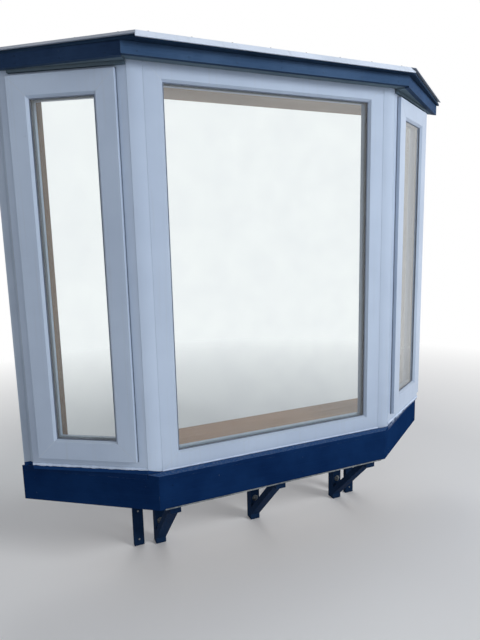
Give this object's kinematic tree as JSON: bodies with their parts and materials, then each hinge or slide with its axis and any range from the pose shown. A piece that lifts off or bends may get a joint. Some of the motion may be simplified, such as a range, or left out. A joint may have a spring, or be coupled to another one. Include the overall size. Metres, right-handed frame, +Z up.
{
  "type": "bay window",
  "caption": "Canted bay window hung on a wall: fixed front light, side casements, shallow roof with white edge, closed timber base on brackets.",
  "frame": {"origin": "middle of the face that the wall ledger turns to the wall", "axes": "+X along the wall, to the right as seen from outside; +Y from outside into the house; +Z up"},
  "size_m": [2.2252, 0.415, 2.11],
  "materials": {
    "white_profile": "satin white plastic",
    "clear_glass": "clear",
    "spacer_metal": "satin",
    "lining_timber": "planed softwood, bare",
    "rough_timber": "sawn softwood, bare",
    "navy_paint": "painted, worn",
    "blue_trim": "painted",
    "fascia_paint": "painted",
    "soffit_paint": "painted, dull",
    "roof_edge_metal": "satin white",
    "roof_membrane": "matt",
    "flashing_metal": "dull"
  },
  "bodies": {
    "root": {"apron_drip": "flashing_metal", "base_board": "blue_trim", "base_frame": "rough_timber", "base_soffit": "rough_timber", "brackets": "rough_timber", "centre_bead": "white_profile", "centre_frame": "white_profile", "centre_glass": "clear_glass", "eaves_soffit": "soffit_paint", "front_apron": "navy_paint", "front_fascia": "fascia_paint", "front_ledge": "blue_trim", "front_roof_edge": "roof_edge_metal", "glass_spacers": "spacer_metal", "head_board": "rough_timber", "head_lining": "lining_timber", "head_strips": "soffit_paint", "left_apron": "navy_paint", "left_bead": "white_profile", "left_fascia": "fascia_paint", "left_frame": "white_profile", "left_glass": "clear_glass", "left_packers": "blue_trim", "left_post": "white_profile", "left_roof_edge": "roof_edge_metal", "left_sash": "white_profile", "left_wall_jamb": "white_profile", "post_trims": "white_profile", "reveal_boards": "lining_timber", "right_apron": "navy_paint", "right_bead": "white_profile", "right_fascia": "fascia_paint", "right_frame": "white_profile", "right_glass": "clear_glass", "right_packers": "blue_trim", "right_post": "white_profile", "right_roof_edge": "roof_edge_metal", "right_sash": "white_profile", "right_wall_jamb": "white_profile", "roof_deck": "navy_paint", "roof_sheet": "roof_membrane", "sash_handles": "white_profile", "seat_board": "lining_timber", "seat_packers": "rough_timber", "wall_battens": "rough_timber", "wall_flashing": "flashing_metal", "wall_ledger": "rough_timber"}
  },
  "joints": []
}
